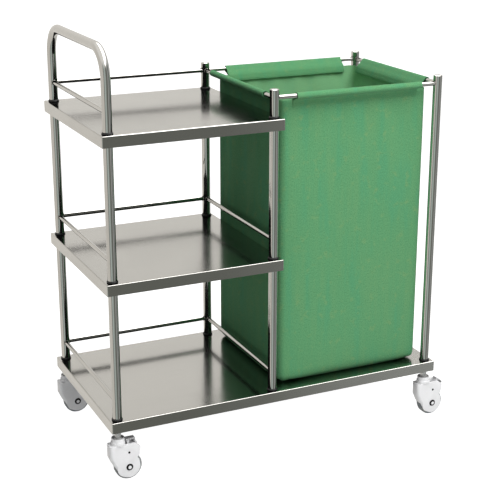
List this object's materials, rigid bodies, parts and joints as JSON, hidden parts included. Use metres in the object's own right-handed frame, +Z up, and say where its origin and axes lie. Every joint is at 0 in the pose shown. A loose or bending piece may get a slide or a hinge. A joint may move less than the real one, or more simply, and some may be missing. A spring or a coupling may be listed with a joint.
{
  "type": "linen trolley",
  "caption": "Stainless steel hospital trolley with railed shelves and a push handle at one end and a hung fabric linen bag at the other, on braked swivel casters.",
  "frame": {"origin": "on the floor under the middle of the bottom tray", "axes": "+X along the tray from the handle end to the bag end, +Y to the back, where the rails are, +Z up"},
  "size_m": [1.0465, 0.5, 1.1645],
  "materials": {
    "polished_tube": "polished stainless steel tube",
    "shelf_sheet": "satin stainless steel sheet",
    "plated_hardware": "zinc plated steel",
    "dark_hardware": "black oxide steel",
    "bag_cloth": "green woven polyester",
    "caster_housing": "white gloss nylon",
    "wheel_core": "off-white nylon",
    "caster_tread": "grey non-marking rubber",
    "brake_pedal": "grey pressed steel"
  },
  "bodies": {
    "root": {"back_left_stem": "plated_hardware", "back_right_stem": "plated_hardware", "bag_back_rod": "polished_tube", "bag_front_rod": "polished_tube", "bag_left_rod": "polished_tube", "bag_right_rod": "polished_tube", "bottom_back_rail": "polished_tube", "bottom_left_rail": "polished_tube", "bottom_right_rail": "polished_tube", "bottom_tray": "shelf_sheet", "collar_grub_screws": "plated_hardware", "corner_post_inserts": "plated_hardware", "front_left_stem": "plated_hardware", "front_right_stem": "plated_hardware", "handle_frame": "polished_tube", "linen_bag": "bag_cloth", "mid_back_post": "polished_tube", "mid_front_post": "polished_tube", "mid_post_bolts": "plated_hardware", "mid_post_inserts": "plated_hardware", "mid_post_washers": "plated_hardware", "middle_back_rail": "polished_tube", "middle_left_rail": "polished_tube", "middle_right_rail": "polished_tube", "middle_shelf": "shelf_sheet", "post_caps": "polished_tube", "right_back_post": "polished_tube", "right_front_post": "polished_tube", "shelf_collars": "plated_hardware", "top_back_rail": "polished_tube", "top_left_rail": "polished_tube", "top_shelf": "shelf_sheet"},
    "front_left_swivel": {"front_left_housing": "caster_housing", "front_left_swivel_bearing": "plated_hardware", "front_left_axle": "dark_hardware", "front_left_pedal_pin": "dark_hardware"},
    "front_left_wheel": {"front_left_wheel_core": "wheel_core", "front_left_tread": "caster_tread"},
    "front_left_pedal": {"front_left_brake_pedal": "brake_pedal"},
    "front_right_swivel": {"front_right_housing": "caster_housing", "front_right_swivel_bearing": "plated_hardware", "front_right_axle": "dark_hardware", "front_right_pedal_pin": "dark_hardware"},
    "front_right_wheel": {"front_right_wheel_core": "wheel_core", "front_right_tread": "caster_tread"},
    "front_right_pedal": {"front_right_brake_pedal": "brake_pedal"},
    "back_left_swivel": {"back_left_housing": "caster_housing", "back_left_swivel_bearing": "plated_hardware", "back_left_axle": "dark_hardware", "back_left_pedal_pin": "dark_hardware"},
    "back_left_wheel": {"back_left_wheel_core": "wheel_core", "back_left_tread": "caster_tread"},
    "back_left_pedal": {"back_left_brake_pedal": "brake_pedal"},
    "back_right_swivel": {"back_right_housing": "caster_housing", "back_right_swivel_bearing": "plated_hardware", "back_right_axle": "dark_hardware", "back_right_pedal_pin": "dark_hardware"},
    "back_right_wheel": {"back_right_wheel_core": "wheel_core", "back_right_tread": "caster_tread"},
    "back_right_pedal": {"back_right_brake_pedal": "brake_pedal"}
  },
  "joints": [
    {"name": "front_left_caster_swivel", "type": "hinge", "parent": "root", "child": "front_left_swivel", "pos_m": [-0.478, -0.228, 0.104], "axis": [0, 0, 1], "continuous": true},
    {"name": "front_left_wheel_roll", "type": "hinge", "parent": "front_left_swivel", "child": "front_left_wheel", "pos_m": [-0.453, -0.228, 0.0375], "axis": [0, 1, 0], "continuous": true},
    {"name": "front_left_brake", "type": "hinge", "parent": "front_left_swivel", "child": "front_left_pedal", "pos_m": [-0.453, -0.228, 0.0805], "axis": [0, 1, 0], "range_deg": [0, 35]},
    {"name": "front_right_caster_swivel", "type": "hinge", "parent": "root", "child": "front_right_swivel", "pos_m": [0.478, -0.228, 0.104], "axis": [0, 0, 1], "continuous": true},
    {"name": "front_right_wheel_roll", "type": "hinge", "parent": "front_right_swivel", "child": "front_right_wheel", "pos_m": [0.503, -0.228, 0.0375], "axis": [0, 1, 0], "continuous": true},
    {"name": "front_right_brake", "type": "hinge", "parent": "front_right_swivel", "child": "front_right_pedal", "pos_m": [0.503, -0.228, 0.0805], "axis": [0, 1, 0], "range_deg": [-35, 0]},
    {"name": "back_left_caster_swivel", "type": "hinge", "parent": "root", "child": "back_left_swivel", "pos_m": [-0.478, 0.228, 0.104], "axis": [0, 0, 1], "continuous": true},
    {"name": "back_left_wheel_roll", "type": "hinge", "parent": "back_left_swivel", "child": "back_left_wheel", "pos_m": [-0.453, 0.228, 0.0375], "axis": [0, 1, 0], "continuous": true},
    {"name": "back_left_brake", "type": "hinge", "parent": "back_left_swivel", "child": "back_left_pedal", "pos_m": [-0.453, 0.228, 0.0805], "axis": [0, 1, 0], "range_deg": [0, 35]},
    {"name": "back_right_caster_swivel", "type": "hinge", "parent": "root", "child": "back_right_swivel", "pos_m": [0.478, 0.228, 0.104], "axis": [0, 0, 1], "continuous": true},
    {"name": "back_right_wheel_roll", "type": "hinge", "parent": "back_right_swivel", "child": "back_right_wheel", "pos_m": [0.503, 0.228, 0.0375], "axis": [0, 1, 0], "continuous": true},
    {"name": "back_right_brake", "type": "hinge", "parent": "back_right_swivel", "child": "back_right_pedal", "pos_m": [0.503, 0.228, 0.0805], "axis": [0, 1, 0], "range_deg": [0, 35]}
  ]
}
